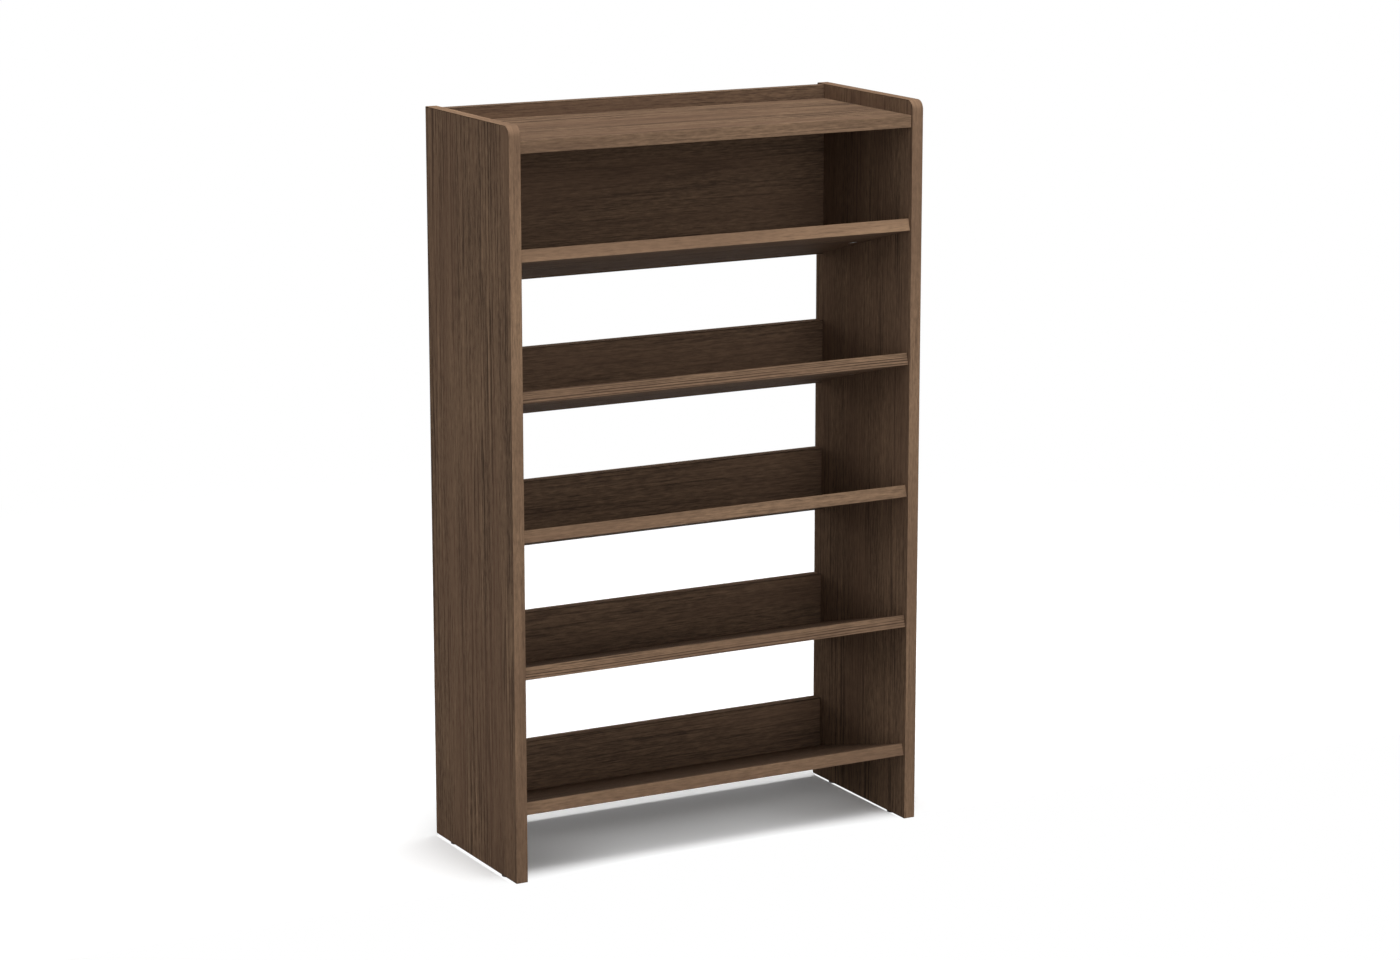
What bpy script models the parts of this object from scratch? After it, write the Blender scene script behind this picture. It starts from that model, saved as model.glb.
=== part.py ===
"""Open shoe rack of faced board: two side panels on glides carry a top board, an upper back panel,
five tilted shelves and four stop rails, held by cam fittings and dowels.

Metres, +Z up, the front faces -Y, and the origin is on the floor under the middle of the rack.
"""

import math

import bmesh
import bpy
from mathutils import Matrix, Vector

# Carcass
OVERALL_WIDTH = 0.670
OVERALL_DEPTH = 0.275
BOARD_THICKNESS = 0.018
GALLERY_HEIGHT = 0.0215
SIDE_CORNER_RADIUS = 0.014
ARRIS_RADIUS = 0.0008
FRONT_SETBACK = 0.003
BACK_INSET = 0.0035
UPPER_BACK_DROP = 0.002

# Shelves and stop rails, from the floor up
SHELF_COUNT = 5
SHELF_PITCH = 0.200
SHELF_TILT = math.radians(15.0)
RAIL_FLOOR_CLEARANCE = 0.034
RAIL_UNDERLAP = 0.003
RAIL_HEIGHT = 0.097
TOP_BAY_HEIGHT = 0.1515

# Floor glides
GLIDE_HEIGHT = 0.003
GLIDE_EDGE_MARGIN = 0.001
GLIDE_RIM_CHAMFER = 0.0008
GLIDE_INSET = 0.050
NAIL_DIAMETER = 0.0022
NAIL_LENGTH = 0.015
NAIL_POINT = 0.003

# Cam fittings in the shelves
CAM_DIAMETER = 0.015
CAM_DISTANCE = 0.024
CAM_RECESS = 0.0004
CAM_FLOOR = 0.0012
CROSS_LENGTH = 0.009
CROSS_WIDTH = 0.0018
CROSS_DEPTH = 0.002
BOLT_THREAD_DIAMETER = 0.005
BOLT_SHANK_DIAMETER = 0.007
BOLT_NECK_DIAMETER = 0.003
BOLT_HEAD_DIAMETER = 0.0055
BOLT_HEAD_LENGTH = 0.004
BOLT_STANDOFF = 0.001
BOLT_TIP_CHAMFER = 0.001

# Dowels
DOWEL_DIAMETER = 0.008
DOWEL_LENGTH = 0.030
DOWEL_CHAMFER = 0.0008
SHELF_DOWEL_SETBACK = 0.055
TOP_DOWEL_SETBACK = 0.090

# Clearances
FIT_GAP = 0.0003
POCKET_PLAY = 0.0004
SIDE_BORE_SKIN = 0.0065
CUT_OVERRUN = 0.002
MERGE_DISTANCE = 0.00001

# Facets of round shapes
CORNER_STEPS = 6
ARRIS_STEPS = 2
PIN_STEPS = 12
CAM_STEPS = 24
GLIDE_STEPS = 20
SHARP_ANGLE = math.radians(40.0)

# Places that follow from the sizes above
FRONT = -OVERALL_DEPTH / 2
INNER_HALF_WIDTH = OVERALL_WIDTH / 2 - BOARD_THICKNESS
MEMBER_HALF_LENGTH = INNER_HALF_WIDTH - FIT_GAP
MEMBER_FRONT = FRONT + FRONT_SETBACK
RAIL_FRONT = -FRONT - BACK_INSET - BOARD_THICKNESS
MEMBER_REACH = RAIL_FRONT - FIT_GAP - MEMBER_FRONT
SHELF_DEPTH = (MEMBER_REACH - BOARD_THICKNESS * math.sin(SHELF_TILT)) / math.cos(SHELF_TILT)
SHELF_FALL = SHELF_DEPTH * math.sin(SHELF_TILT)
LOWEST_SHELF = RAIL_FLOOR_CLEARANCE + RAIL_UNDERLAP + SHELF_FALL
HIGHEST_SHELF = LOWEST_SHELF + (SHELF_COUNT - 1) * SHELF_PITCH
TOP_BOARD_UNDERSIDE = HIGHEST_SHELF + TOP_BAY_HEIGHT
SIDE_BOTTOM = GLIDE_HEIGHT + FIT_GAP
SIDE_TOP = TOP_BOARD_UNDERSIDE + BOARD_THICKNESS + GALLERY_HEIGHT
UPPER_BACK_BOTTOM = HIGHEST_SHELF - SHELF_FALL - RAIL_UNDERLAP
UPPER_BACK_HEIGHT = SIDE_TOP - UPPER_BACK_DROP - UPPER_BACK_BOTTOM
SIDE_BORE_DEPTH = BOARD_THICKNESS - SIDE_BORE_SKIN
MID_BOARD = BOARD_THICKNESS / 2
HEAD_POCKET_RADIUS = BOLT_HEAD_DIAMETER / 2 + POCKET_PLAY
CAM_TOP = HEAD_POCKET_RADIUS + CAM_FLOOR
CAM_FACE = CAM_RECESS - MID_BOARD
X_TO_Z = Matrix.Rotation(-math.pi / 2, 4, "Y")
X_TO_Y = Matrix.Rotation(math.pi / 2, 4, "Z")
ENDS = {"left": -1, "right": 1}


def finish(name, colour, roughness, metallic=0.0):
    """A material of one colour, roughness and metallic value."""
    material = bpy.data.materials.new(name)
    material.use_nodes = True
    shader = material.node_tree.nodes["Principled BSDF"]
    shader.inputs["Base Color"].default_value = (*colour, 1.0)
    shader.inputs["Roughness"].default_value = roughness
    shader.inputs["Metallic"].default_value = metallic
    return material


def mesh_of(name, bm):
    """A mesh of the shape in bm, facing outwards, smooth where it is round."""
    bmesh.ops.recalc_face_normals(bm, faces=bm.faces)
    mesh = bpy.data.meshes.new(name)
    bm.to_mesh(mesh)
    bm.free()
    mesh.shade_smooth()
    mesh.set_sharp_from_angle(angle=SHARP_ANGLE)
    return mesh


def piece(name, mesh, material, matrix, parent=None):
    """A named object that stands at a world matrix, under the board that carries it."""
    made = bpy.data.objects.new(name, mesh)
    bpy.context.scene.collection.objects.link(made)
    if not mesh.materials:
        mesh.materials.append(material)
    made.parent = parent
    made.matrix_basis = parent.matrix_basis.inverted() @ matrix if parent else matrix
    return made


def rounded_outline(corners):
    """Points round a shape with square corners; each corner is (y, z, radius, steps of its arc)."""
    points = []
    for index, (y, z, radius, steps) in enumerate(corners):
        corner = Vector((y, z))
        before = (Vector(corners[index - 1][:2]) - corner).normalized()
        after = (Vector(corners[(index + 1) % len(corners)][:2]) - corner).normalized()
        centre = corner + radius * (before + after)
        for step in range(steps + 1):
            angle = math.pi / 2 * step / steps
            points.append(centre - radius * (after * math.cos(angle) + before * math.sin(angle)))
    return points


def extruded(outline, start, end):
    """The outline, in the Y-Z plane, drawn out along X from start to end."""
    bm = bmesh.new()
    face = bm.faces.new([bm.verts.new((start, y, z)) for y, z in outline])
    drawn = bmesh.ops.extrude_face_region(bm, geom=[face])["geom"]
    moved = [part for part in drawn if isinstance(part, bmesh.types.BMVert)]
    bmesh.ops.translate(bm, verts=moved, vec=(end - start, 0, 0))
    return bm


def turned(name, profile, steps):
    """The profile, (place along X, radius) from axis to axis, turned about X."""
    bm = bmesh.new()
    points = [bm.verts.new((along, 0, radius)) for along, radius in profile]
    edges = [bm.edges.new(pair) for pair in zip(points, points[1:])]
    chain = points + edges
    bmesh.ops.spin(bm, geom=chain, cent=(0, 0, 0), axis=(1, 0, 0), angle=math.tau, steps=steps)
    bmesh.ops.remove_doubles(bm, verts=bm.verts, dist=MERGE_DISTANCE)
    return mesh_of(name, bm)


def joined(name, shapes):
    """One mesh of separate shapes, each a mesh and the matrix that places it."""
    bm = bmesh.new()
    for mesh, matrix in shapes:
        copy = mesh.copy()
        copy.transform(matrix)
        bm.from_mesh(copy)
        bpy.data.meshes.remove(copy)
    return mesh_of(name, bm)


def carved(mesh, cutter):
    """The mesh with the cutter's shape taken out of it."""
    block = bpy.data.objects.new("block", mesh)
    tool = bpy.data.objects.new("tool", cutter)
    tool.hide_render = True
    tool.display_type = "WIRE"
    for made in (block, tool):
        bpy.context.scene.collection.objects.link(made)
    cut = block.modifiers.new("cut", "BOOLEAN")
    cut.operation = "DIFFERENCE"
    cut.solver = "EXACT"
    cut.object = tool
    result = bpy.data.meshes.new_from_object(block.evaluated_get(bpy.context.evaluated_depsgraph_get()))
    result.name = mesh.name
    for made in (block, tool):
        bpy.data.objects.remove(made)
    return result


def dowel_profile(gap=0.0):
    """A chamfered dowel, or with a gap its bore; 0 is the face of the board that it enters."""
    outer = SIDE_BORE_DEPTH - FIT_GAP
    inner = outer - DOWEL_LENGTH - gap
    outer += gap
    radius = DOWEL_DIAMETER / 2 + gap
    shoulder = radius - DOWEL_CHAMFER
    return [
        (inner, 0),
        (inner, shoulder),
        (inner + DOWEL_CHAMFER, radius),
        (outer - DOWEL_CHAMFER, radius),
        (outer, shoulder),
        (outer, 0),
    ]


def bolt_profile():
    """A cam bolt: head and neck in the cam, shank in the shelf's end, thread in the side panel."""
    tip = SIDE_BORE_DEPTH - FIT_GAP
    collar = -FIT_GAP
    shank_end = CAM_DIAMETER / 2 + BOLT_STANDOFF - CAM_DISTANCE
    head_front = BOLT_HEAD_LENGTH / 2 - CAM_DISTANCE
    head_back = head_front - BOLT_HEAD_LENGTH
    return [
        (head_back, 0),
        (head_back, BOLT_HEAD_DIAMETER / 2),
        (head_front, BOLT_HEAD_DIAMETER / 2),
        (head_front, BOLT_NECK_DIAMETER / 2),
        (shank_end, BOLT_NECK_DIAMETER / 2),
        (shank_end, BOLT_SHANK_DIAMETER / 2),
        (collar, BOLT_SHANK_DIAMETER / 2),
        (collar, BOLT_THREAD_DIAMETER / 2),
        (tip - BOLT_TIP_CHAMFER, BOLT_THREAD_DIAMETER / 2),
        (tip, BOLT_THREAD_DIAMETER / 2 - BOLT_TIP_CHAMFER),
        (tip, 0),
    ]


def bolt_bore_profile():
    """The bolt's bore, from the cam's axis to its end in the side panel, stepped in the joint's gap."""
    step = -FIT_GAP / 2
    return [
        (-CAM_DISTANCE, 0),
        (-CAM_DISTANCE, BOLT_SHANK_DIAMETER / 2 + FIT_GAP),
        (step, BOLT_SHANK_DIAMETER / 2 + FIT_GAP),
        (step, BOLT_THREAD_DIAMETER / 2 + FIT_GAP),
        (SIDE_BORE_DEPTH, BOLT_THREAD_DIAMETER / 2 + FIT_GAP),
        (SIDE_BORE_DEPTH, 0),
    ]


def cylinder_profile(start, end, radius):
    """A plain cylinder from start to end."""
    return [(start, 0), (start, radius), (end, radius), (end, 0)]


def cross_outline():
    """The plus shape of the driver recess in a cam's face."""
    arm = CROSS_LENGTH / 2
    half = CROSS_WIDTH / 2
    quarter = [(arm, half), (half, half), (half, arm)]
    turns = [Matrix.Rotation(math.pi / 2 * turn, 2) for turn in range(4)]
    return [turn @ Vector(point) for turn in turns for point in quarter]


def cam_mesh():
    """A cam disc about Z, with its pocket for the bolt's head towards +X and its driver recess below."""
    radius = CAM_DIAMETER / 2
    disc = turned("cam", cylinder_profile(CAM_FACE, CAM_TOP, radius), CAM_STEPS)
    disc.transform(X_TO_Z)
    pocket_end = -BOLT_HEAD_LENGTH / 2 - POCKET_PLAY
    pocket = cylinder_profile(pocket_end, radius + CUT_OVERRUN, HEAD_POCKET_RADIUS)
    recess = extruded(cross_outline(), CAM_FACE - CUT_OVERRUN, CAM_FACE + CROSS_DEPTH)
    recess.transform(X_TO_Z)
    disc = carved(disc, turned("pocket", pocket, PIN_STEPS))
    return carved(disc, mesh_of("recess", recess))


def glide_profile():
    """A glide about its nail: a chamfered head on the floor, then the nail and its point."""
    radius = MID_BOARD - GLIDE_EDGE_MARGIN
    point = GLIDE_HEIGHT + NAIL_LENGTH
    return [
        (0, 0),
        (0, radius - GLIDE_RIM_CHAMFER),
        (GLIDE_RIM_CHAMFER, radius),
        (GLIDE_HEIGHT, radius),
        (GLIDE_HEIGHT, NAIL_DIAMETER / 2),
        (point - NAIL_POINT, NAIL_DIAMETER / 2),
        (point, 0),
    ]


def nail_bore_profile():
    """The nail's hole, from just under the side panel."""
    point = GLIDE_HEIGHT + NAIL_LENGTH + FIT_GAP
    radius = NAIL_DIAMETER / 2 + FIT_GAP
    return [(GLIDE_HEIGHT, 0), (GLIDE_HEIGHT, radius), (point - NAIL_POINT, radius), (point, 0)]


def board_frame(y, z, tilt=0.0):
    """Where a cross board stands: its lower front corner, and how far its back edge tilts down."""
    return Matrix.Translation((0, y, z)) @ Matrix.Rotation(-tilt, 4, "X")


def end_joint(frame, end, y, z):
    """The place of a pin in a board's end: its origin on the side panel, its X axis outwards."""
    turn = Matrix.Rotation(0.0 if ENDS[end] > 0 else math.pi, 4, "Z")
    return frame @ Matrix.Translation((ENDS[end] * INNER_HALF_WIDTH, y, z)) @ turn


def cross_boards():
    """Each board between the side panels: its frame, depth, height and pins as (kind, y, z)."""
    boards = {
        "top_board": (
            board_frame(MEMBER_FRONT, TOP_BOARD_UNDERSIDE),
            MEMBER_REACH,
            BOARD_THICKNESS,
            [("dowel", TOP_DOWEL_SETBACK, MID_BOARD)],
        ),
        "upper_back_panel": (
            board_frame(RAIL_FRONT, UPPER_BACK_BOTTOM),
            BOARD_THICKNESS,
            UPPER_BACK_HEIGHT,
            [("dowel", MID_BOARD, UPPER_BACK_HEIGHT / 2)],
        ),
    }
    for number in range(1, SHELF_COUNT + 1):
        rise = (SHELF_COUNT - number) * SHELF_PITCH
        boards[f"shelf_{number}"] = (
            board_frame(MEMBER_FRONT, LOWEST_SHELF + rise, SHELF_TILT),
            SHELF_DEPTH,
            BOARD_THICKNESS,
            [("bolt", SHELF_DEPTH / 2, MID_BOARD), ("dowel", SHELF_DOWEL_SETBACK, MID_BOARD)],
        )
        if number > 1:
            boards[f"stop_rail_{number}"] = (
                board_frame(RAIL_FRONT, RAIL_FLOOR_CLEARANCE + rise),
                BOARD_THICKNESS,
                RAIL_HEIGHT,
                [("dowel", MID_BOARD, RAIL_HEIGHT / 2)],
            )
    return boards


def cross_board_mesh(name, frame, depth, height, bores):
    """A cross board with rounded arrises, drilled by each list of bores in turn."""
    corners = [(0, 0), (depth, 0), (depth, height), (0, height)]
    outline = rounded_outline([(*corner, ARRIS_RADIUS, ARRIS_STEPS) for corner in corners])
    mesh = mesh_of(name, extruded(outline, -MEMBER_HALF_LENGTH, MEMBER_HALF_LENGTH))
    for shapes in bores:
        placed = [(shape, frame.inverted() @ matrix) for shape, matrix in shapes]
        mesh = carved(mesh, joined("bores", placed))
    return mesh


def side_panel_mesh(name, frame, bores):
    """A side panel with its top front corner rounded and its arrises eased, drilled from inside."""
    height = SIDE_TOP - SIDE_BOTTOM
    outline = rounded_outline([
        (0, 0, ARRIS_RADIUS, ARRIS_STEPS),
        (OVERALL_DEPTH, 0, ARRIS_RADIUS, ARRIS_STEPS),
        (OVERALL_DEPTH, height, ARRIS_RADIUS, ARRIS_STEPS),
        (0, height, SIDE_CORNER_RADIUS, CORNER_STEPS),
    ])
    bm = extruded(outline, 0, BOARD_THICKNESS)
    rims = [edge for edge in bm.edges if edge.verts[0].co.x == edge.verts[1].co.x]
    bmesh.ops.bevel(
        bm, geom=rims, offset=ARRIS_RADIUS / 2, segments=ARRIS_STEPS, profile=0.5, affect="EDGES"
    )
    placed = [(shape, frame.inverted() @ matrix) for shape, matrix in bores]
    return carved(mesh_of(name, bm), joined("bores", placed))


for leftover in list(bpy.data.objects):
    bpy.data.objects.remove(leftover)

walnut = finish("walnut_board", (0.19, 0.12, 0.078), 0.5)
zinc = finish("zinc_cam", (0.52, 0.52, 0.5), 0.4, 1.0)
steel = finish("steel_bolt", (0.56, 0.55, 0.52), 0.32, 1.0)
beech = finish("beech_dowel", (0.62, 0.44, 0.27), 0.65)
plastic = finish("glide_plastic", (0.02, 0.018, 0.016), 0.55)

# Pins, their bores, cams and glides: one mesh of each, shared by its copies
pin_meshes = {
    "dowel": turned("dowel", dowel_profile(), PIN_STEPS),
    "bolt": turned("bolt", bolt_profile(), PIN_STEPS),
}
bore_meshes = {
    "dowel": turned("dowel_bore", dowel_profile(FIT_GAP), PIN_STEPS),
    "bolt": turned("bolt_bore", bolt_bore_profile(), PIN_STEPS),
}
pin_finishes = {"dowel": beech, "bolt": steel}
cam = cam_mesh()
cam_bore_profile = cylinder_profile(-MID_BOARD - CUT_OVERRUN, CAM_TOP + FIT_GAP, CAM_DIAMETER / 2 + FIT_GAP)
cam_bore = turned("cam_bore", cam_bore_profile, CAM_STEPS)
glide = turned("glide", glide_profile(), GLIDE_STEPS)
nail_bore = turned("nail_bore", nail_bore_profile(), GLIDE_STEPS)
side_bores = {end: [] for end in ENDS}
joint_to_cam = Matrix.Translation((-CAM_DISTANCE, 0, 0))
back_joint = Matrix.Translation((0, RAIL_FRONT, TOP_BOARD_UNDERSIDE + MID_BOARD)) @ X_TO_Y
back_bored = ("top_board", "upper_back_panel")

# Boards between the side panels, with the pins and cams in their ends
for board, (frame, depth, height, pins) in cross_boards().items():
    pin_places = [
        (f"{board}_{kind}_{end}", kind, end, end_joint(frame, end, y, z))
        for kind, y, z in pins
        for end in ENDS
    ]
    drilled = [(bore_meshes[kind], matrix) for _, kind, _, matrix in pin_places]
    if board in back_bored:
        drilled.append((bore_meshes["dowel"], back_joint))
    cam_places = [
        (f"{board}_cam_{end}", matrix @ joint_to_cam)
        for _, kind, end, matrix in pin_places
        if kind == "bolt"
    ]
    milled = [(cam_bore, matrix @ X_TO_Z) for _, matrix in cam_places]
    bores = [shapes for shapes in (drilled, milled) if shapes]
    carrier = piece(board, cross_board_mesh(board, frame, depth, height, bores), walnut, frame)
    for name, kind, end, matrix in pin_places:
        piece(name, pin_meshes[kind], pin_finishes[kind], matrix, carrier)
        side_bores[end].append((bore_meshes[kind], matrix))
    for name, matrix in cam_places:
        piece(name, cam, zinc, matrix, carrier)
    if board == "top_board":
        piece("top_board_dowel_back", pin_meshes["dowel"], beech, back_joint, carrier)

# Side panels on their glides
for end, sign in ENDS.items():
    outer = sign * OVERALL_WIDTH / 2
    frame = Matrix.Translation((min(outer, outer - sign * BOARD_THICKNESS), FRONT, SIDE_BOTTOM))
    glide_places = {
        place: Matrix.Translation((outer - sign * MID_BOARD, y, 0)) @ X_TO_Z
        for place, y in (("front", FRONT + GLIDE_INSET), ("back", -FRONT - GLIDE_INSET))
    }
    bores = side_bores[end] + [(nail_bore, matrix) for matrix in glide_places.values()]
    panel = f"side_panel_{end}"
    carrier = piece(panel, side_panel_mesh(panel, frame, bores), walnut, frame)
    for place, matrix in glide_places.items():
        piece(f"floor_glide_{end}_{place}", glide, plastic, matrix, carrier)
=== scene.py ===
"""Open shoe rack of walnut-faced board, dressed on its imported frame. Metres, +Z up, the front faces -Y."""

import bpy
import numpy as np
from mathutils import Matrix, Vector


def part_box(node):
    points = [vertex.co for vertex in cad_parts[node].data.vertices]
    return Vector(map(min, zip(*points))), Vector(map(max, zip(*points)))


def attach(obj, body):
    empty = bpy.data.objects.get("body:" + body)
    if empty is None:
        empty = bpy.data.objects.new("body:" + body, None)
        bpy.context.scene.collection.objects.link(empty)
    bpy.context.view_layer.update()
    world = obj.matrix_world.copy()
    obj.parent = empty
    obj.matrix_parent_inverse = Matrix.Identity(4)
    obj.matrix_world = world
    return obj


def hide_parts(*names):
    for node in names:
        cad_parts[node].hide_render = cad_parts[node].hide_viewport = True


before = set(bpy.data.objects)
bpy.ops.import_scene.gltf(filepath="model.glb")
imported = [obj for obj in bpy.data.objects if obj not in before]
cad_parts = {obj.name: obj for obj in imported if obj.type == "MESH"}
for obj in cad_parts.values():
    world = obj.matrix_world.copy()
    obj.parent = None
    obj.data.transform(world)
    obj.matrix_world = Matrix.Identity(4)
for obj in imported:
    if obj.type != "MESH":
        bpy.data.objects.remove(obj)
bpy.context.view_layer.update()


# Side panels: two upright boards of 18 mm particle board, faced with walnut foil whose grain stands
# upright. They are cut square but for a rounded top front corner, and carry all the other boards.
SIDES = ("left", "right")
EDGE_BAND = 0.0008
JOINT_LINE = 0.00008
BAND_ROOM = EDGE_BAND + JOINT_LINE
CUT_EASE = 0.00015
SIDE_CORNER = 0.014
LEAST_RADIUS = 0.00004
CORNER_STEPS = 8
FLAT_HOLD = 0.0004
SHARP = np.radians(32.0)
GRAIN_ROOM = 9.0
GRAIN_SEED = 1873
chance = np.random.default_rng(GRAIN_SEED)


def rounded_outlines(low, high, radii, insets):
    """Closed outlines of a rectangle, one for each inset by which all its sides are drawn in.
    Each corner is a quarter circle, centre + radius (cos a, sin a), and its radius shrinks with the
    inset. One more point on the straight at either end of a corner keeps the straight side flat."""
    turn = np.linspace(0.0, np.pi / 2, CORNER_STEPS + 1)
    turn = np.concatenate([turn[:1], turn, turn[-1:]])
    angle = np.radians([180.0, 270.0, 0.0, 90.0])[:, None] + turn
    outward = np.stack([np.cos(angle), np.sin(angle)], axis=-1)
    forward = np.stack([-np.sin(angle), np.cos(angle)], axis=-1)
    slide = np.zeros(len(turn))
    slide[0] = -FLAT_HOLD
    slide[-1] = FLAT_HOLD
    inset = np.asarray(insets, float)[:, None, None]
    radius = np.maximum(np.asarray(radii, float)[None, :, None] - inset, LEAST_RADIUS)
    corner = np.array([[low[0], low[1]], [high[0], low[1]], [high[0], high[1]], [low[0], high[1]]])
    inward = np.array([[1.0, 1.0], [-1.0, 1.0], [-1.0, -1.0], [1.0, -1.0]])
    centre = corner + inward * (inset + radius)
    points = centre[:, :, None] + radius[..., None] * outward + slide[:, None] * forward
    return points.reshape(len(inset), -1, 2)


def board_surface(low, high, radii, stations):
    """A board as one closed skin: at each station (x, inset) its whole outline, drawn in by the inset."""
    x, inset = np.asarray(stations, float).T
    outlines = rounded_outlines(low, high, radii, inset)
    along = np.broadcast_to(x[:, None, None], outlines.shape[:2] + (1,))
    return np.concatenate([along, outlines], axis=2)


def skin_faces(rows, columns, left_out=()):
    """Faces of a grid that closes round its columns: one between each four neighbours, apart from the
    cells left out, and one over each end."""
    index = np.arange(rows * columns).reshape(rows, columns)
    after = np.roll(index, -1, axis=1)
    cells = np.stack([index[:-1], after[:-1], after[1:], index[1:]], axis=-1)
    kept = np.ones(cells.shape[:2], bool)
    for row, column in left_out:
        kept[row, column] = False
    return cells[kept].tolist() + [index[0, ::-1].tolist(), index[-1].tolist()]


def made_piece(name, points, faces, material, slot, **fields):
    """A mesh piece in place at the origin. Each named field holds one vector for every point."""
    mesh = bpy.data.meshes.new(name)
    mesh.from_pydata(points.reshape(-1, 3).tolist(), [], faces)
    for key, field in fields.items():
        held = mesh.attributes.new(key, "FLOAT_VECTOR", "POINT")
        held.data.foreach_set("vector", field.reshape(-1).astype(np.float32))
    mesh.materials.append(material)
    mesh.shade_smooth()
    mesh.set_sharp_from_angle(angle=SHARP)
    made = bpy.data.objects.new(name, mesh)
    bpy.context.scene.collection.objects.link(made)
    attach(made, "root")
    return made


def wood_fields(run, aside, below, lean):
    """Where each point lies in the wood, from the metres along, across and through the board. The grain
    field is that place, moved by a random step so that no two boards match. The heart field is the way
    from the middle of the log: it lies aside of the board's centre line and below its face, and comes
    nearer the face by the lean for each metre along, so that a near heart draws arched figure."""
    flat = run.reshape(-1, 3)
    along, across, through = np.moveaxis(run - (flat.min(axis=0) + flat.max(axis=0)) / 2, -1, 0)
    heart = np.stack([across - aside, through + below + lean * along, np.zeros(along.shape)], axis=-1)
    return {"grain": run + chance.uniform(0.0, GRAIN_ROOM, 3), "heart": heart}


class Tone:
    """A shader socket to reckon with: +, - and * between tones and numbers add their Math nodes."""

    def __init__(self, tree, socket=None):
        self.tree = tree
        self.socket = socket

    def node(self, kind, settings=None, sockets=None, output=0):
        """Any other node: its settings first, then a value or a link for each named socket."""
        added = self.tree.nodes.new(kind)
        for key, value in (settings or {}).items():
            setattr(added, key, value)
        for key, value in (sockets or {}).items():
            if isinstance(value, Tone):
                self.tree.links.new(value.socket, added.inputs[key])
            else:
                added.inputs[key].default_value = value
        return Tone(self.tree, added.outputs[output])

    def reckon(self, operation, first, second):
        """One Math node on two inputs, each a tone or a number."""
        return self.node("ShaderNodeMath", {"operation": operation}, {0: first, 1: second})

    def __add__(self, other):
        return self.reckon("ADD", self, other)

    def __sub__(self, other):
        return self.reckon("SUBTRACT", self, other)

    def __rsub__(self, other):
        return self.reckon("SUBTRACT", other, self)

    def __mul__(self, other):
        return self.reckon("MULTIPLY", self, other)

    __radd__ = __add__
    __rmul__ = __mul__

    def step(self, start, end):
        """0 below start and 1 above end, with a soft rise between them."""
        settings = {"interpolation_type": "SMOOTHSTEP"}
        return self.node("ShaderNodeMapRange", settings, {0: self, 1: start, 2: end, 3: 0.0, 4: 1.0})

    def stretched(self, scale):
        """A place with each of its axes multiplied by its own scale."""
        return self.node("ShaderNodeVectorMath", {"operation": "MULTIPLY"}, {0: self, 1: scale})

    def noise(self, scale, detail=2.0, roughness=0.5):
        """Soft noise from 0 to 1 about this place, with so many lumps to the metre on each axis."""
        sockets = {"Vector": self.stretched(scale), "Scale": 1.0, "Detail": detail, "Roughness": roughness}
        return self.node("ShaderNodeTexNoise", {"noise_dimensions": "3D"}, sockets)

    def mixed(self, first, second):
        """A colour between two, this tone saying how much of the second."""
        settings = {"data_type": "RGBA", "clamp_factor": True}
        return self.node("ShaderNodeMix", settings, {0: self, 6: first, 7: second}, output=2)

    def bump(self, strength, depth):
        """A surface normal that follows this tone as a height."""
        sockets = {"Strength": strength, "Distance": depth, "Height": self}
        return self.node("ShaderNodeBump", {}, sockets)


def new_material(name):
    """A named node material, its shader and a Tone to begin from."""
    material = bpy.data.materials.new(name)
    material.use_nodes = True
    tree = material.node_tree
    return material, tree.nodes["Principled BSDF"], Tone(tree)


def feed(shader, **tones):
    """Joins tones to a shader's sockets; a number is set on the socket itself."""
    for key, value in tones.items():
        socket = shader.inputs[key.replace("_", " ")]
        if isinstance(value, Tone):
            value.tree.links.new(value.socket, socket)
        else:
            socket.default_value = value


WALNUT_DARK = (0.076, 0.049, 0.035, 1.0)
WALNUT_LIGHT = (0.400, 0.254, 0.156, 1.0)
WALNUT_RED = (0.165, 0.100, 0.066, 1.0)
RED_SHARE = 0.5
RING_WANDER = 2.3
DRIFT_PACE = 0.45
DRIFT_TURN = 8.0
MOTTLE_DEPTH = 0.12
MOTTLE_BY_STREAKS = 0.35
GATHER_LEAST = 0.35
GATHER_MORE = 0.95
LINE_BY_STREAKS = 0.5
DASH_DEPTH = 0.5
FIBRE_DEPTH = 0.3
PORE_DEPTH = 0.18
FOIL_ROUGHNESS = 0.68
DASH_ROUGHNESS = 0.3
PORE_ROUGHNESS = 0.12
GRAIN_BUMP = 0.30
GRAIN_RELIEF = 0.00012


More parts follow.
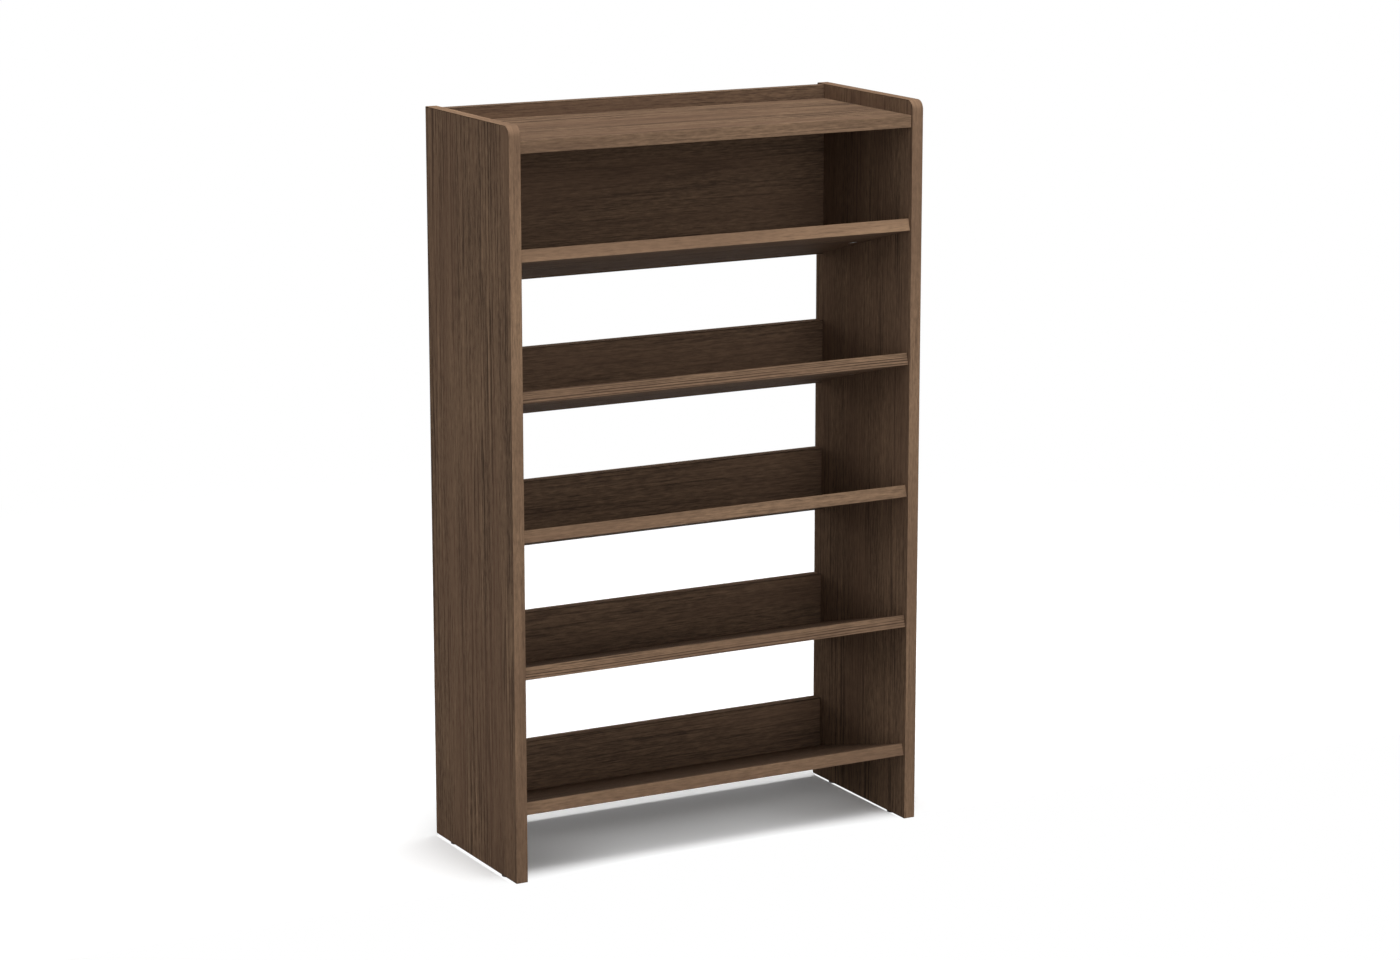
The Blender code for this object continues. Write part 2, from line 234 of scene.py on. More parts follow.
def walnut(name, lightness, rings, vein_depth, stripe_depth, streak_depth, grit_depth, gloss):
    """Walnut foil. Growth rings are waves along the distance from the heart, with so many to the metre and
    their spacing disturbed by noise. Their dark late wood shows as veins where the figure gathers, and as
    stripes that fade in and out along the board. Over them lie soft mottling, streaks and dark lines that
    gather in bands, grit, short dashes and fibres, all of them noise drawn out along the grain, and dark
    pores, the peaks of finer noise. Lightness is the mean tone between the dark and the light wood, and
    each depth says how far its marks move that tone."""
    # For the edge bands, the lightness also carries painted light.
    material, shader, start = new_material(name)
    place = start.node("ShaderNodeAttribute", {"attribute_name": "grain"}, output="Vector")
    heart = start.node("ShaderNodeAttribute", {"attribute_name": "heart"}, output="Vector")

    def drawn(along, across, detail=2.0, roughness=0.5):
        """Noise drawn out along the grain, with so many lumps to the metre along it and across it."""
        return place.noise((along, across, across), detail, roughness)

    wander = drawn(along=2.4, across=12.0) - 0.5
    sideways = start.node("ShaderNodeCombineXYZ", {}, {"X": wander * (RING_WANDER / rings)})
    bent = start.node("ShaderNodeVectorMath", {"operation": "ADD"}, {0: heart, 1: sideways})
    reach = start.node("ShaderNodeVectorMath", {"operation": "LENGTH"}, {0: bent}, output="Value")
    drift_sockets = {"W": reach * (DRIFT_PACE * rings), "Scale": 1.0, "Detail": 1.0}
    drift = start.node("ShaderNodeTexNoise", {"noise_dimensions": "1D"}, drift_sockets)
    wave = start.reckon("SINE", reach * (2 * np.pi * rings) + drift * DRIFT_TURN, 0.0)
    late = wave.step(0.25, 1.0)
    figure = drawn(along=1.1, across=15.0, detail=1.0).step(0.48, 0.68)
    fade = drawn(along=5.0, across=160.0, detail=1.0).step(0.30, 0.60)
    mottle = drawn(along=2.6, across=28.0)
    gather = GATHER_LEAST + drawn(along=1.6, across=22.0, detail=1.0).step(0.36, 0.62) * GATHER_MORE
    streak = drawn(along=2.4, across=150.0, detail=3.0, roughness=0.65)
    line = drawn(along=5.0, across=300.0, detail=1.0).step(0.55, 0.72)
    grit = drawn(along=60.0, across=320.0, detail=3.0, roughness=0.7)
    dash = drawn(along=42.0, across=560.0, roughness=0.6)
    fibre = drawn(along=16.0, across=1300.0)
    pore = drawn(along=34.0, across=1500.0, detail=0.0).step(0.60, 0.70)
    tone = lightness + (mottle - 0.5) * (MOTTLE_DEPTH + MOTTLE_BY_STREAKS * streak_depth)
    tone = tone - late * (figure * vein_depth + fade * stripe_depth)
    tone = tone + gather * ((streak - 0.5) * streak_depth - line * (LINE_BY_STREAKS * streak_depth))
    tone = tone + (grit - 0.5) * grit_depth
    tone = tone + (dash - 0.5) * DASH_DEPTH + (fibre - 0.5) * FIBRE_DEPTH - pore * PORE_DEPTH
    warmth = drawn(along=1.8, across=15.0).step(0.38, 0.66) * RED_SHARE
    colour = warmth.mixed(tone.mixed(WALNUT_DARK, WALNUT_LIGHT), WALNUT_RED)
    height = dash * DASH_DEPTH + fibre * FIBRE_DEPTH - pore
    roughness = FOIL_ROUGHNESS + (dash - 0.5) * DASH_ROUGHNESS + pore * PORE_ROUGHNESS
    feed(shader, Base_Color=colour, Roughness=roughness, Normal=height.bump(GRAIN_BUMP, GRAIN_RELIEF),
         Specular_IOR_Level=gloss)
    return material


bold_foil = walnut("walnut_foil_bold", lightness=0.365, rings=105.0, vein_depth=0.18, stripe_depth=0.02,
                   streak_depth=1.15, grit_depth=0.85, gloss=0.0005)
even_foil = walnut("walnut_foil_even", lightness=0.375, rings=105.0, vein_depth=0.10, stripe_depth=0.02,
                   streak_depth=0.60, grit_depth=0.85, gloss=0.0005)
SIDE_FOILS = {"left": bold_foil, "right": even_foil}
# Each heart is (aside, below, lean), as the wood's fields take it.
SIDE_HEARTS = {"left": (0.34, 0.10, 0.03), "right": (-0.30, 0.08, 0.04)}

for side in SIDES:
    low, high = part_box("side_panel_" + side)
    radii = (CUT_EASE, CUT_EASE, CUT_EASE, SIDE_CORNER)
    stations = [(low.x, BAND_ROOM + CUT_EASE), (low.x + CUT_EASE, BAND_ROOM),
                (high.x - CUT_EASE, BAND_ROOM), (high.x, BAND_ROOM + CUT_EASE)]
    points = board_surface((low.y, low.z), (high.y, high.z), radii, stations)
    core = made_piece("side_board_" + side, points, skin_faces(*points.shape[:2]), SIDE_FOILS[side],
                      "walnut_board", **wood_fields(points[..., [2, 1, 0]], *SIDE_HEARTS[side]))
    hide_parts("side_panel_" + side)


# Edge bands of the side panels: one strip of 0.8 mm walnut band glued all round each panel and trimmed
# flush, with its arrises eased. It bends round the top front corner and its grain follows it.
BAND_ARRIS = 0.0006
BAND_INNER = 0.00005
BAND_HEART = (0.25, 0.05, 0.012)
# The band's tone, paler than the foil on the faces, is partly its own and partly painted light standing in
# for the light that falls on the front edges.
plain_band = walnut("walnut_band", lightness=0.70, rings=120.0, vein_depth=0.0, stripe_depth=0.03,
                    streak_depth=0.45, grit_depth=0.85, gloss=0.002)


def ring_faces(rows, columns):
    """Faces of a grid that closes both ways, as a strip that runs all the way round a board does."""
    index = np.arange(rows * columns).reshape(rows, columns)
    after = np.roll(index, -1, axis=1)
    above = np.roll(index, -1, axis=0)
    return np.stack([index, after, np.roll(after, -1, axis=0), above], axis=-1).reshape(-1, 4).tolist()


for side in SIDES:
    low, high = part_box("side_panel_" + side)
    section = rounded_outlines((low.x, -EDGE_BAND), (high.x, 0.0),
                               (BAND_INNER, BAND_INNER, BAND_ARRIS, BAND_ARRIS), [0.0])[0, ::-1]
    radii = (BAND_ARRIS, BAND_ARRIS, BAND_ARRIS, SIDE_CORNER)
    points = board_surface((low.y, low.z), (high.y, high.z), radii,
                           np.stack([section[:, 0], -section[:, 1]], axis=1))
    edge = rounded_outlines((low.y, low.z), (high.y, high.z), radii, [0.0])[0]
    travelled = np.concatenate([[0.0], np.cumsum(np.linalg.norm(np.diff(edge, axis=0), axis=1))])
    grain = np.stack([np.broadcast_to(travelled, points.shape[:2]), points[..., 0],
                      np.broadcast_to(section[:, 1:], points.shape[:2])], axis=-1)
    made_piece("side_band_" + side, points, ring_faces(*points.shape[:2]), plain_band,
               "walnut_board", **wood_fields(grain, *BAND_HEART))


# Top board: a level board dowelled between the side panels and against the back panel, a finger's width
# below the panels' tops. Walnut foil with the grain along it, and a band on its front edge.
END_EASE = 0.0002
FRONT_ARRISES = (BAND_ARRIS, BAND_INNER, BAND_INNER, BAND_ARRIS)
TOP_BOARD_HEART = (0.30, 0.06, 0.05)
# This band's tone, paler than the foil, is partly its own and partly painted light standing in for the light
# on the board's front edge.
dark_band = walnut("walnut_band_dark", lightness=0.53, rings=120.0, vein_depth=0.0, stripe_depth=0.03,
                   streak_depth=0.80, grit_depth=0.85, gloss=0.002)


def eased_length(half, between=()):
    """Stations (x, inset) along a board: both ends drawn in by their ease, and any lines between them."""
    start = [(-half, END_EASE), (-half + END_EASE, 0.0)]
    end = [(half - END_EASE, 0.0), (half, END_EASE)]
    return start + [(x, 0.0) for x in between] + end


def tilted(local, place, tilt):
    """Points from a board's own frame (along, deep, high) to the room: turned down at the back by tilt
    about the board's lower front edge, then moved to the place (y, z) of that edge."""
    deep = local[..., 1]
    tall = local[..., 2]
    y = place[0] + deep * np.cos(tilt) + tall * np.sin(tilt)
    z = place[1] - deep * np.sin(tilt) + tall * np.cos(tilt)
    return np.stack([local[..., 0], y, z], axis=-1)


def along_x(local):
    """The metres along, across and through a board that runs along X; across is its wider way."""
    spread = np.ptp(local.reshape(-1, 3), axis=0)
    return local[..., [0, 1, 2] if spread[1] > spread[2] else [0, 2, 1]]


def straight_strip(name, half, low, high, radii, place, tilt, material):
    """A straight edge band: a rounded section carried along X, with its two ends eased."""
    local = board_surface(low, high, radii, eased_length(half))
    made_piece(name, tilted(local, place, tilt), skin_faces(*local.shape[:2]), material,
               "walnut_board", **wood_fields(along_x(local), *BAND_HEART))


def board_core(node, half, low, high, place, heart, foil):
    """A plain faced board carried along X between the side panels, square but for its eased edges."""
    local = board_surface(low, high, (CUT_EASE,) * 4, eased_length(half))
    core = made_piece(node + "_core", tilted(local, place, 0.0), skin_faces(*local.shape[:2]), foil,
                      "walnut_board", **wood_fields(along_x(local), *heart))
    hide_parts(node)


low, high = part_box("top_board")
deep = high.y - low.y
tall = high.z - low.z
board_core("top_board", high.x, (BAND_ROOM, 0.0), (deep, tall), (low.y, low.z), TOP_BOARD_HEART, bold_foil)
straight_strip("top_board_band", high.x, (0.0, 0.0), (EDGE_BAND, tall), FRONT_ARRISES,
               (low.y, low.z), 0.0, dark_band)


# Upper back panel: an upright board dowelled between the side panels behind the top bay, from the top
# shelf's back edge to just under the panels' tops. Its long edges have bands that match its faces.
TOP_ARRISES = (BAND_INNER, BAND_INNER, BAND_ARRIS, BAND_ARRIS)
BOTTOM_ARRISES = (BAND_ARRIS, BAND_ARRIS, BAND_INNER, BAND_INNER)
BACK_PANEL_HEART = (0.02, 0.035, 0.05)
quiet_foil = walnut("walnut_foil_quiet", lightness=0.305, rings=105.0, vein_depth=0.12, stripe_depth=0.02,
                    streak_depth=0.42, grit_depth=0.75, gloss=0.009)


def upright_board(node, heart):
    """An upright board on edge between the side panels, with a band on its top and bottom edges."""
    low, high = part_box(node)
    deep = high.y - low.y
    tall = high.z - low.z
    place = (low.y, low.z)
    board_core(node, high.x, (0.0, BAND_ROOM), (deep, tall - BAND_ROOM), place, heart, quiet_foil)
    straight_strip(node + "_band_top", high.x, (0.0, tall - EDGE_BAND), (deep, tall), TOP_ARRISES,
                   place, 0.0, quiet_foil)
    straight_strip(node + "_band_bottom", high.x, (0.0, 0.0), (deep, EDGE_BAND), BOTTOM_ARRISES,
                   place, 0.0, quiet_foil)


upright_board("upper_back_panel", BACK_PANEL_HEART)


# Shelves: five boards let in between the side panels, falling 15 degrees to the back so that shoes lie
# against the rails. Foil on both faces, a band in front, and a bore under each end for its cam.
SHELF_COUNT = 5
SHELF_TILT = np.radians(15.0)
SHELF_BOARD = 0.018
SHELF_ARRIS = 0.0008
CAM_BORE = 0.00765
CAM_BORE_DEPTH = 0.0136
BORE_MARGIN = 0.004
BORE_POINTS = 32
BORE_START = np.radians(225.0)
CAM_STATIONS = (2, 4)
LOWER_FRONT_CORNER_END = CORNER_STEPS + 2
SHELF_HEARTS = [(0.22, 0.05, 0.04), (-0.05, 0.04, 0.06), (0.30, 0.08, 0.03), (-0.24, 0.06, 0.05),
                (0.06, 0.05, 0.07)]
# These bands' tones, paler than the foil, are partly their own and partly painted light standing in for the
# light on the shelves' front edges.
pale_band = walnut("walnut_band_pale", lightness=0.82, rings=120.0, vein_depth=0.0, stripe_depth=0.03,
                   streak_depth=0.40, grit_depth=0.85, gloss=0.002)
mid_band = walnut("walnut_band_mid", lightness=0.64, rings=120.0, vein_depth=0.0, stripe_depth=0.03,
                  streak_depth=0.45, grit_depth=0.85, gloss=0.002)
striped_band = walnut("walnut_band_striped", lightness=0.60, rings=300.0, vein_depth=0.0, stripe_depth=0.85,
                      streak_depth=0.40, grit_depth=0.75, gloss=0.002)
SHELF_BANDS = [pale_band, striped_band, mid_band, striped_band, mid_band]


def shelf_skin(half, depth, cams):
    """A shelf's skin in its own frame, with a round bore under each end. The outline gets two more points
    on its underside and the length two more stations about each cam; the cell between them is left out
    and filled by a flat ring, from its four corners to a circle, and by the bore's wall and floor."""
    reach = CAM_BORE + BORE_MARGIN
    middle = cams[0][1]
    lines = np.sort([x + way for x, _ in cams for way in (-reach, reach)])
    grid = board_surface((BAND_ROOM, 0.0), (depth, SHELF_BOARD), (CUT_EASE,) * 4, eased_length(half, lines))
    first = LOWER_FRONT_CORNER_END + 1
    under = np.repeat(grid[:, first - 1:first], 2, axis=1)
    under[:, :, 1] = [middle - reach, middle + reach]
    grid = np.concatenate([grid[:, :first], under, grid[:, first:]], axis=1)
    rows, columns = grid.shape[:2]
    cells = [(station, first) for station in CAM_STATIONS]
    points = [grid.reshape(-1, 3)]
    faces = skin_faces(rows, columns, cells)
    angle = BORE_START - np.arange(BORE_POINTS) * 2 * np.pi / BORE_POINTS
    circle = CAM_BORE * np.stack([np.cos(angle), np.sin(angle), 0 * angle], axis=1)
    quarter = BORE_POINTS // 4
    for (row, column), (x, _) in zip(cells, sorted(cams)):
        mouth = circle + (x, middle, 0.0)
        base = sum(len(part) for part in points)
        points += [mouth, mouth + (0.0, 0.0, CAM_BORE_DEPTH)]
        rim = base + np.arange(BORE_POINTS + 1) % BORE_POINTS
        floor = rim + BORE_POINTS
        here = row * columns + column
        corners = [here, here + 1, here + columns + 1, here + columns, here]
        for turn in range(4):
            arc = rim[turn * quarter:(turn + 1) * quarter + 1]
            faces.append([corners[turn], corners[turn + 1]] + arc[::-1].tolist())
        faces += np.stack([rim[:-1], rim[1:], floor[1:], floor[:-1]], axis=1).tolist()
        faces.append(floor[:-1].tolist())
    return np.concatenate(points), faces


for number in range(1, SHELF_COUNT + 1):
    node = f"shelf_{number}"
    low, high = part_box(node)
    # The frame's shelf has eased arrises, so its box falls short of a sharp board's by this much.
    ease = SHELF_ARRIS * (np.cos(SHELF_TILT) + np.sin(SHELF_TILT) - 1.0)
    place = (low.y - ease, high.z + ease - SHELF_BOARD * np.cos(SHELF_TILT))
    depth = (high.y - place[0] - SHELF_BOARD * np.sin(SHELF_TILT)) / np.cos(SHELF_TILT)
    cams = []
    for side in SIDES:
        cam_low, cam_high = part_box(f"{node}_cam_{side}")
        x, y, z = (cam_low + cam_high) / 2
        cams.append((x, (y - place[0]) * np.cos(SHELF_TILT) - (z - place[1]) * np.sin(SHELF_TILT)))
    local, faces = shelf_skin(high.x, depth, cams)
    core = made_piece(node + "_core", tilted(local, place, SHELF_TILT), faces, quiet_foil,
                      "walnut_board", **wood_fields(along_x(local), *SHELF_HEARTS[number - 1]))
    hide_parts(node)
    straight_strip(node + "_band", high.x, (0.0, 0.0), (EDGE_BAND, SHELF_BOARD), FRONT_ARRISES, place,
                   SHELF_TILT, SHELF_BANDS[number - 1])


# Stop rails: four upright boards dowelled between the side panels behind the lower shelves, which the
# heels of the shoes lean on. Walnut foil along them, with matching bands on the top and bottom edges.
FIRST_RAIL = 2
RAIL_HEARTS = [(0.12, 0.05, 0.05), (-0.20, 0.06, 0.04), (0.05, 0.05, 0.06), (-0.10, 0.04, 0.05)]
for number, rail_heart in enumerate(RAIL_HEARTS, FIRST_RAIL):
    upright_board(f"stop_rail_{number}", rail_heart)


# Cam fittings: a zinc cam pressed into the underside of each shelf end, turned tight by its cross slot
# on the head of a steel bolt that is screwed into the side panel.
CAM_EDGE = 0.00022
CAM_EDGE_STEPS = 2
MERGE = 0.00001
PITS_TO_PATCH = 9
DULL_ROUGHNESS = 0.4
PIT_ROUGHNESS = 0.2
PIT_BUMP = 0.25
PIT_RELIEF = 0.00008


def metal(name, dull, bright, roughness, patches):
    """Bare metal: patches of dull oxide over the bright metal, so many to the metre, and fine pits.
    It is rougher where it is dull and in the pits."""
    material, shader, start = new_material(name)
    place = start.node("ShaderNodeTexCoord", {}, {}, output="Object")
    patch = place.noise((patches,) * 3, detail=3.0, roughness=0.6)
    pit = place.noise((patches * PITS_TO_PATCH,) * 3)
    feed(shader, Base_Color=patch.step(0.35, 0.65).mixed(dull, bright), Metallic=1.0,
         Roughness=roughness + (0.5 - patch) * DULL_ROUGHNESS + (pit - 0.5) * PIT_ROUGHNESS,
         Normal=pit.bump(PIT_BUMP, PIT_RELIEF))
    return material


zinc = metal("cast_zinc", dull=(0.42, 0.43, 0.44, 1.0), bright=(0.66, 0.67, 0.68, 1.0), roughness=0.40,
             patches=260.0)
steel = metal("plated_steel", dull=(0.45, 0.43, 0.38, 1.0), bright=(0.62, 0.60, 0.55, 1.0), roughness=0.32,
              patches=420.0)

for number in range(1, SHELF_COUNT + 1):
    for side in SIDES:
        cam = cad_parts[f"shelf_{number}_cam_{side}"]
        cam.material_slots[0].material = zinc
        weld = cam.modifiers.new("merged", "WELD")
        weld.merge_threshold = MERGE
        eased = cam.modifiers.new("eased", "BEVEL")
        eased.width = CAM_EDGE
        eased.segments = CAM_EDGE_STEPS
        eased.limit_method = "ANGLE"
        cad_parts[f"shelf_{number}_bolt_{side}"].material_slots[0].material = steel


# Dowels: chamfered beech pins, glued into the boards' ends and pushed into the side panels. They lie
# along X, or along Y between the top board and the back panel, and stay out of sight.
BEECH_DARK = (0.52, 0.33, 0.19, 1.0)
BEECH_PALE = (0.66, 0.46, 0.29, 1.0)
BEECH_FLECK = (0.36, 0.20, 0.10, 1.0)
FIBRES_ALONG = 30.0
FIBRES_ACROSS = 600.0
FLECKS_TO_FIBRE = 3
FLECK_SHARE = 0.5
BEECH_ROUGHNESS = 0.62
FIBRE_ROUGHNESS = 0.3
FIBRE_BUMP = 0.3
FIBRE_RELIEF = 0.0001


def beech(name, scale):
    """Pale beech: fine fibres drawn out along the pin, with short darker flecks."""
    material, shader, start = new_material(name)
    place = start.node("ShaderNodeTexCoord", {}, {}, output="Object")
    fibre = place.noise(scale, detail=3.0)
    fleck = place.noise(tuple(FLECKS_TO_FIBRE * value for value in scale), detail=0.0).step(0.62, 0.72)
    colour = fibre.step(0.3, 0.7).mixed(BEECH_DARK, BEECH_PALE)
    feed(shader, Base_Color=(fleck * FLECK_SHARE).mixed(colour, BEECH_FLECK),
         Roughness=BEECH_ROUGHNESS + (fibre - 0.5) * FIBRE_ROUGHNESS,
         Normal=fibre.bump(FIBRE_BUMP, FIBRE_RELIEF))
    return material


pin_beech = beech("beech_pin", (FIBRES_ALONG, FIBRES_ACROSS, FIBRES_ACROSS))
back_pin_beech = beech("beech_back_pin", (FIBRES_ACROSS, FIBRES_ALONG, FIBRES_ACROSS))
for name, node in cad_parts.items():
    if "_dowel_" in name:
        node.material_slots[0].material = back_pin_beech if name.endswith("_back") else pin_beech


# Floor glides: four round plastic glides under the side panels, each held by a nail that stays out of
# sight. The rim is rounded so that it slides, and the sole is a little hollow.
GLIDE_POINTS = 40
GLIDE_HEIGHT = 0.003
LOWER_RIM = 0.001
UPPER_RIM = 0.0008
RIM_STEPS = 6
SOLE_HOLLOW = 0.0003
HOLLOW_STEPS = 5
HOLLOW_START = 0.45
HOLLOW_END = 0.74
NECK_SHARE = 0.5
GLIDE_PREFIX = "floor_glide_"
EGGSHELL = (2600.0, 2600.0, 2600.0)
EGGSHELL_BUMP = 0.3
EGGSHELL_RELIEF = 0.00006
SCUFFS = (220.0, 900.0, 900.0)
SCUFF_SHARE = 0.6
SCUFF_ROUGHNESS = 0.2
PLASTIC_ROUGHNESS = 0.46


def turned(centre, profile):
    """A profile of (radius, height) turned about an upright axis: each ring is centre + radius
    (cos a, sin a) at its height, and the first and last rings are closed by flat faces."""
    radius, height = np.asarray(profile, float).T
    angle = np.arange(GLIDE_POINTS) * 2 * np.pi / GLIDE_POINTS
    x = centre.x + radius[:, None] * np.cos(angle)
    y = centre.y + radius[:, None] * np.sin(angle)
    return np.stack([x, y, np.broadcast_to(height[:, None], x.shape)], axis=-1)


def glide_profile(size, neck_top):
    """(radius, height) of a glide from its sole up. The hollow falls from its depth to nothing with the
    square of the way out, each rim is a quarter circle, and a narrow neck reaches up to the panel."""
    out = np.linspace(0.0, 1.0, HOLLOW_STEPS)
    bend = np.linspace(0.0, np.pi / 2, RIM_STEPS)
    hollow_reach = size * (HOLLOW_START + (HOLLOW_END - HOLLOW_START) * out)
    hollow = np.stack([hollow_reach, SOLE_HOLLOW * (1.0 - out ** 2)], axis=1)
    lower = np.stack([size - LOWER_RIM * (1.0 - np.sin(bend)), LOWER_RIM * (1.0 - np.cos(bend))], axis=1)
    upper = np.stack([size - UPPER_RIM * (1.0 - np.cos(bend)),
                      GLIDE_HEIGHT - UPPER_RIM * (1.0 - np.sin(bend))], axis=1)
    neck = [(NECK_SHARE * size, GLIDE_HEIGHT), (NECK_SHARE * size, neck_top)]
    return np.concatenate([hollow, lower, upper, neck])


def moulded_plastic(name, dark, pale):
    """Dark moulded plastic: a fine eggshell texture, greyed in scuffs."""
    material, shader, start = new_material(name)
    place = start.node("ShaderNodeTexCoord", {}, {}, output="Object")
    shell = place.noise(EGGSHELL)
    scuff = place.noise(SCUFFS, detail=3.0, roughness=0.65).step(0.52, 0.72)
    feed(shader, Base_Color=(scuff * SCUFF_SHARE).mixed(dark, pale),
         Roughness=PLASTIC_ROUGHNESS + scuff * SCUFF_ROUGHNESS,
         Normal=shell.bump(EGGSHELL_BUMP, EGGSHELL_RELIEF))
    return material


glide_plastic = moulded_plastic("brown_glide", dark=(0.030, 0.024, 0.020, 1.0),
                                pale=(0.085, 0.074, 0.066, 1.0))
panel_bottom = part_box("side_panel_left")[0].z
for name in [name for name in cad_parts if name.startswith(GLIDE_PREFIX)]:
    low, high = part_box(name)
    points = turned((low + high) / 2, glide_profile((high.x - low.x) / 2, panel_bottom))
    glide = made_piece("glide_" + name[len(GLIDE_PREFIX):], points, skin_faces(*points.shape[:2]),
                       glide_plastic, "glide_plastic")
    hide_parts(name)


# Floor: a plain white studio floor, level under the glides. It keeps the rack's soft shadow, with painted
# light
# over it: the shadow is lifted a little under the middle of the rack, faded to plain white in front of the
# rack, and whitened in strips under the side panels. The camera and gloss see it pale, and other light sees
# it grey.
FLOOR_HALF = 6.0
FLOOR_LINES = 9
FLOOR_BOUNCE = (0.30, 0.30, 0.30, 1.0)
FLOOR_SEEN = (1.08, 1.08, 1.08, 1.0)
FLOOR_GLOW = 0.075
WHITE = (1.0, 1.0, 1.0, 1.0)
FAR_START = 1.2
FAR_END = 2.6
# Painted light: the floor's shadow fades out between these distances in front of the rack's middle, is
# lifted by this much under its middle, and is whitened in strips under the side panels.
PAINTED_FADE_START = 0.062
PAINTED_FADE_END = 0.128
PAINTED_LIGHT_UNDER = 0.24
UNDER_BACK = -0.09
UNDER_FRONT = 0.07
UNDER_MIDDLE = 0.08
UNDER_SIDE = 0.32
PAINTED_STRIP_SHIFT = 0.001
PAINTED_STRIP_RISE = 0.0015
PAINTED_STRIP_FALL = 0.002
PAINTED_STRIP_SHORT = 0.0005


def seen_directly(start):
    """1 for a ray from the camera, off a glossy surface or through a clear one, otherwise 0."""
    ways = [start.node("ShaderNodeLightPath", {}, {}, output=way)
            for way in ("Is Camera Ray", "Is Glossy Ray", "Is Transmission Ray")]
    return start.reckon("MAXIMUM", start.reckon("MAXIMUM", ways[0], ways[1]), ways[2])


material, shader, start = new_material("white_floor")
tree = material.node_tree
tree.nodes.remove(shader)
place = start.node("ShaderNodeTexCoord", {}, {}, output="Object")
far = start.node("ShaderNodeVectorMath", {"operation": "LENGTH"}, {0: place}, output="Value")
forward = -1.0 * start.node("ShaderNodeSeparateXYZ", {}, {0: place}, output="Y")
aside = start.reckon("ABSOLUTE", start.node("ShaderNodeSeparateXYZ", {}, {0: place}, output="X"), 0.0)
away = start.reckon("ABSOLUTE", forward, 0.0)

# Painted light on the floor: the shadow is lifted a little under the middle of the rack, and whitened in
# front of the rack and in strips under the side panels, where painted light stands in for light passing
# between the glides. What lies far off fades to the white backdrop.
low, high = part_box("side_panel_right")
# Painted light under the middle of the rack: a lift of its shadow there.
under = forward.step(UNDER_BACK, UNDER_FRONT) * (1.0 - aside.step(UNDER_MIDDLE, UNDER_SIDE)) * PAINTED_LIGHT_UNDER
inner = low.x + PAINTED_STRIP_SHIFT
outer = high.x + PAINTED_STRIP_SHIFT
end = high.y - PAINTED_STRIP_SHORT
# Painted light in a strip under each side panel.
painted_strip_across = aside.step(inner, inner + PAINTED_STRIP_RISE) - aside.step(outer, outer + PAINTED_STRIP_FALL)
strip = painted_strip_across * (1.0 - away.step(end, end + PAINTED_STRIP_FALL))
near = start.reckon("MAXIMUM", under + forward.step(PAINTED_FADE_START, PAINTED_FADE_END), strip)
backdrop_and_painted_light = start.reckon("MAXIMUM", far.step(FAR_START, FAR_END), near)

matt = start.node("ShaderNodeBsdfDiffuse", {}, {"Color": FLOOR_BOUNCE})
pale = start.node("ShaderNodeBsdfDiffuse", {}, {"Color": FLOOR_SEEN})
glow = start.node("ShaderNodeEmission", {}, {"Color": WHITE, "Strength": FLOOR_GLOW})
plain_white = start.node("ShaderNodeEmission", {}, {"Color": WHITE, "Strength": 1.0})
shadowed = start.node("ShaderNodeAddShader", {}, {0: pale, 1: glow})
# The camera sees the shadowed floor with the painted light and the far white mixed over it.
backdrop = start.node("ShaderNodeMixShader", {}, {0: backdrop_and_painted_light, 1: shadowed, 2: plain_white})
both = start.node("ShaderNodeMixShader", {}, {0: seen_directly(start), 1: matt, 2: backdrop})
tree.links.new(both.socket, tree.nodes["Material Output"].inputs["Surface"])

across = np.linspace(-FLOOR_HALF, FLOOR_HALF, FLOOR_LINES)
x, y = np.meshgrid(across, across)
grid = np.stack([x, y, np.zeros(x.shape)], axis=-1)
index = np.arange(x.size).reshape(x.shape)
cells = np.stack([index[:-1, :-1], index[:-1, 1:], index[1:, 1:], index[1:, :-1]], axis=-1)
mesh = bpy.data.meshes.new("floor")
mesh.from_pydata(grid.reshape(-1, 3).tolist(), [], cells.reshape(-1, 4).tolist())
mesh.materials.append(material)
floor = bpy.data.objects.new("floor", mesh)
bpy.context.scene.collection.objects.link(floor)


# Light: a narrow soft lamp straight overhead, broad low lamps in front and at both sides, a lower one
# behind on the left, and a soft box high in front. The room is almost dark, but seen as white.
AMBIENT = 0.02
SOFT_BOX_SIZE = 1.2

world = bpy.data.worlds.new("studio")
world.use_nodes = True
tree = world.node_tree
tree.nodes.remove(tree.nodes["Background"])
start = Tone(tree)
room = start.node("ShaderNodeBackground", {}, {"Color": WHITE, "Strength": AMBIENT})
backdrop = start.node("ShaderNodeBackground", {}, {"Color": WHITE, "Strength": 1.0})
both = start.node("ShaderNodeMixShader", {}, {0: seen_directly(start), 1: room, 2: backdrop})
tree.links.new(both.socket, tree.nodes["World Output"].inputs["Surface"])
bpy.context.scene.world = world


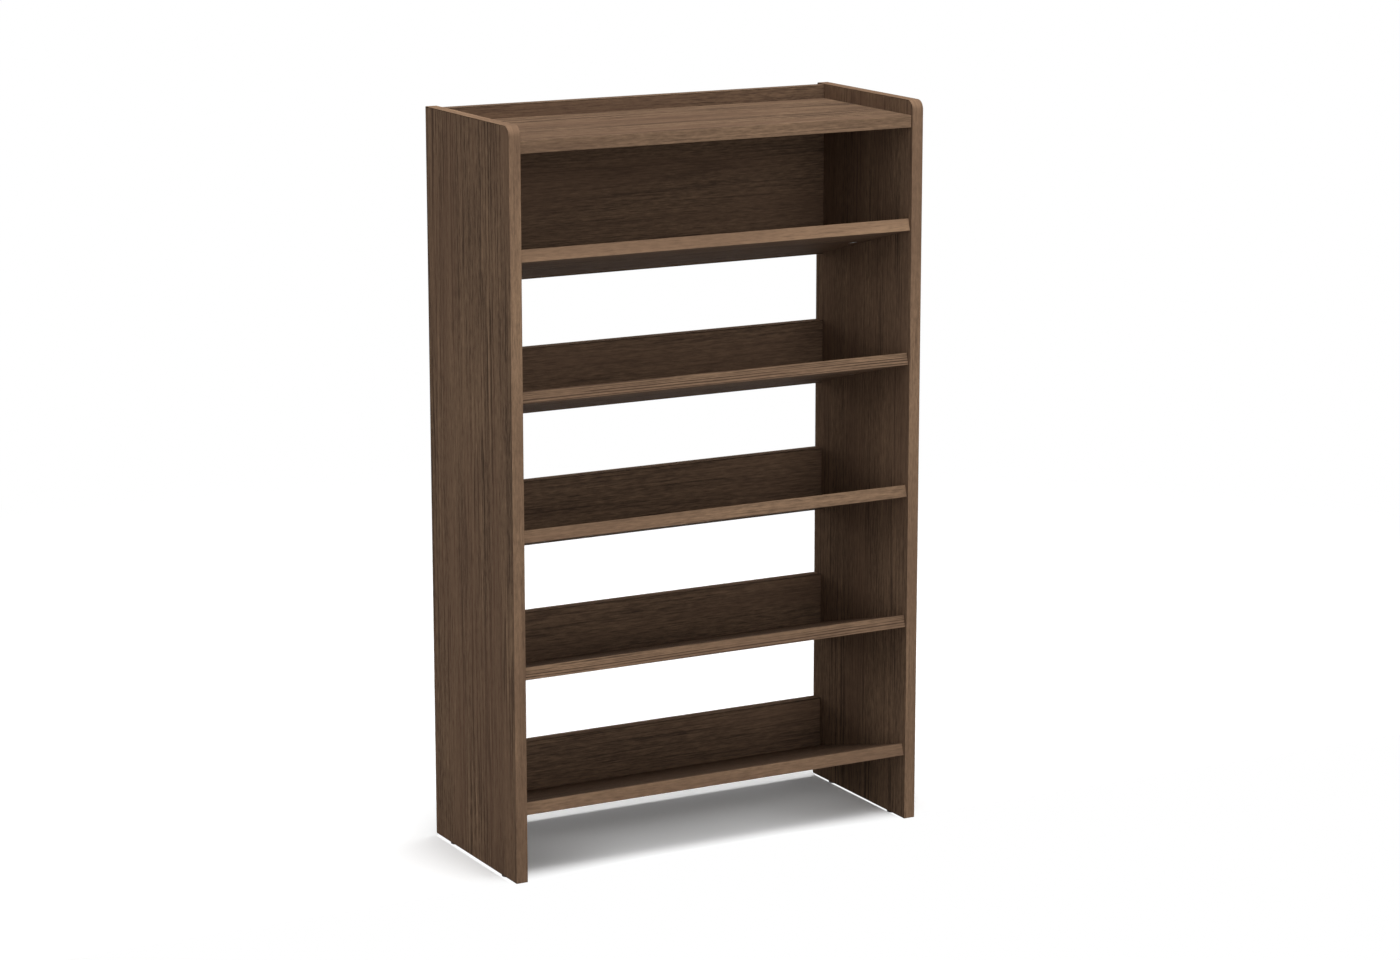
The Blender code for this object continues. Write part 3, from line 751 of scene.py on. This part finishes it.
def soft_lamp(name, strength, spread, height, turn):
    """A far lamp, as broad as its spread, at a height above the horizon and turned from the front to the
    right, in degrees. A strength of 1 shows a colour as it is written on a surface that faces it."""
    lamp = bpy.data.lights.new(name, "SUN")
    lamp.energy = np.pi * strength
    lamp.angle = np.radians(spread)
    placed = bpy.data.objects.new(name, lamp)
    placed.rotation_euler = (np.radians(90.0 - height), 0.0, np.radians(turn))
    bpy.context.scene.collection.objects.link(placed)


def soft_box(name, strength, place, aim):
    """A round soft box at a place, turned to its aim. Its strength means what a far lamp's does."""
    away = Vector(place) - Vector(aim)
    lamp = bpy.data.lights.new(name, "AREA")
    lamp.shape = "DISK"
    lamp.size = SOFT_BOX_SIZE
    lamp.energy = np.pi ** 2 * strength * away.length_squared
    placed = bpy.data.objects.new(name, lamp)
    placed.location = place
    placed.rotation_euler = away.to_track_quat("Z", "Y").to_euler()
    bpy.context.scene.collection.objects.link(placed)


soft_lamp("overhead_lamp", strength=0.78, spread=25.0, height=90.0, turn=0.0)
soft_lamp("front_lamp", strength=0.34, spread=45.0, height=12.0, turn=0.0)
soft_lamp("left_lamp", strength=0.29, spread=45.0, height=12.0, turn=-80.0)
soft_lamp("right_lamp", strength=0.30, spread=45.0, height=12.0, turn=100.0)
soft_lamp("back_lamp", strength=0.155, spread=25.0, height=4.0, turn=-148.0)
soft_box("high_box", strength=0.26, place=(0.3, -1.7, 2.5), aim=(0.0, 0.0, 0.85))


# Camera: a long lens without shift, in front of the rack, a little above it and to its left. It is
# turned to the right and looks slightly down.
CAMERA_PLACE = (-2.5582, -4.7714, 1.7178)
CAMERA_TURN = np.radians(28.564)
CAMERA_DROP = np.radians(12.317)
CAMERA_LENS = 96.40
CAMERA_SENSOR = 36.0

lens = bpy.data.cameras.new("camera")
lens.lens = CAMERA_LENS
lens.sensor_width = CAMERA_SENSOR
camera = bpy.data.objects.new("camera", lens)
camera.location = CAMERA_PLACE
camera.rotation_euler = (np.pi / 2 - CAMERA_DROP, 0.0, -CAMERA_TURN)
bpy.context.scene.collection.objects.link(camera)
bpy.context.scene.camera = camera
bpy.context.scene.view_settings.view_transform = "Standard"
